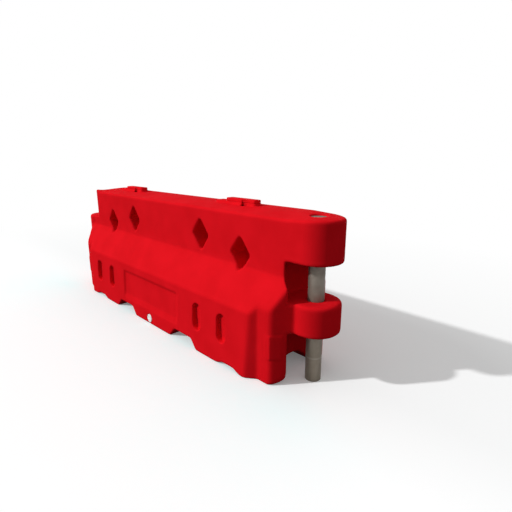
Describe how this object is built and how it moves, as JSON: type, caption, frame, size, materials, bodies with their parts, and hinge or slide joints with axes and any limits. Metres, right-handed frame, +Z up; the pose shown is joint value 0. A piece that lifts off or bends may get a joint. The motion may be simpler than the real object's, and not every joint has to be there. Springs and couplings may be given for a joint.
{
  "type": "crash barrier",
  "caption": "Water-filled plastic road barrier with hinge lugs at both ends, a lift-out steel coupling pin, lift-off filler lids and a screw-in drain plug.",
  "frame": {"origin": "on the floor, at the middle of the overall length and width", "axes": "+X along the barrier towards the end that carries the coupling pin, -Y towards the front face with the drain plug, +Z up"},
  "size_m": [2.223, 0.449, 0.7525],
  "materials": {
    "shell_red": "satin as-moulded",
    "lid_red": "satin as-moulded",
    "pin_steel": "weathered galvanised",
    "plug_white": "satin",
    "insert_brass": "machined",
    "seal_rubber": "matt"
  },
  "bodies": {
    "barrier": {"shell": "shell_red", "drain_insert": "insert_brass"},
    "coupling_pin": {"pin_tube": "pin_steel", "pin_top_plate": "pin_steel"},
    "lid_near": {"filler_lid_near": "lid_red", "filler_gasket_near": "seal_rubber"},
    "lid_far": {"filler_lid_far": "lid_red", "filler_gasket_far": "seal_rubber"},
    "drain_advance": {"drain_seal": "seal_rubber"},
    "drain_screw": {"drain_plug": "plug_white"}
  },
  "joints": [
    {"name": "pin_lift", "type": "slide", "parent": "barrier", "child": "coupling_pin", "axis": [0, 0, 1], "range_m": [0, 0.74]},
    {"name": "lid_near_lift", "type": "slide", "parent": "barrier", "child": "lid_near", "axis": [0, 0, 1], "range_m": [0, 0.12]},
    {"name": "lid_far_lift", "type": "slide", "parent": "barrier", "child": "lid_far", "axis": [0, 0, 1], "range_m": [0, 0.12]},
    {"name": "drain_slide", "type": "slide", "parent": "barrier", "child": "drain_advance", "axis": [0, -1, 0], "range_m": [0, 0.02001]},
    {"name": "drain_turn", "type": "hinge", "parent": "drain_advance", "child": "drain_screw", "pos_m": [-0.025, -0.2239, 0.031], "axis": [0, -1, 0], "range_deg": [0, 1800]}
  ],
  "couplings": [
    {"joint": "drain_slide", "follows": "drain_turn", "m_per_rad": 0.00063662}
  ]
}
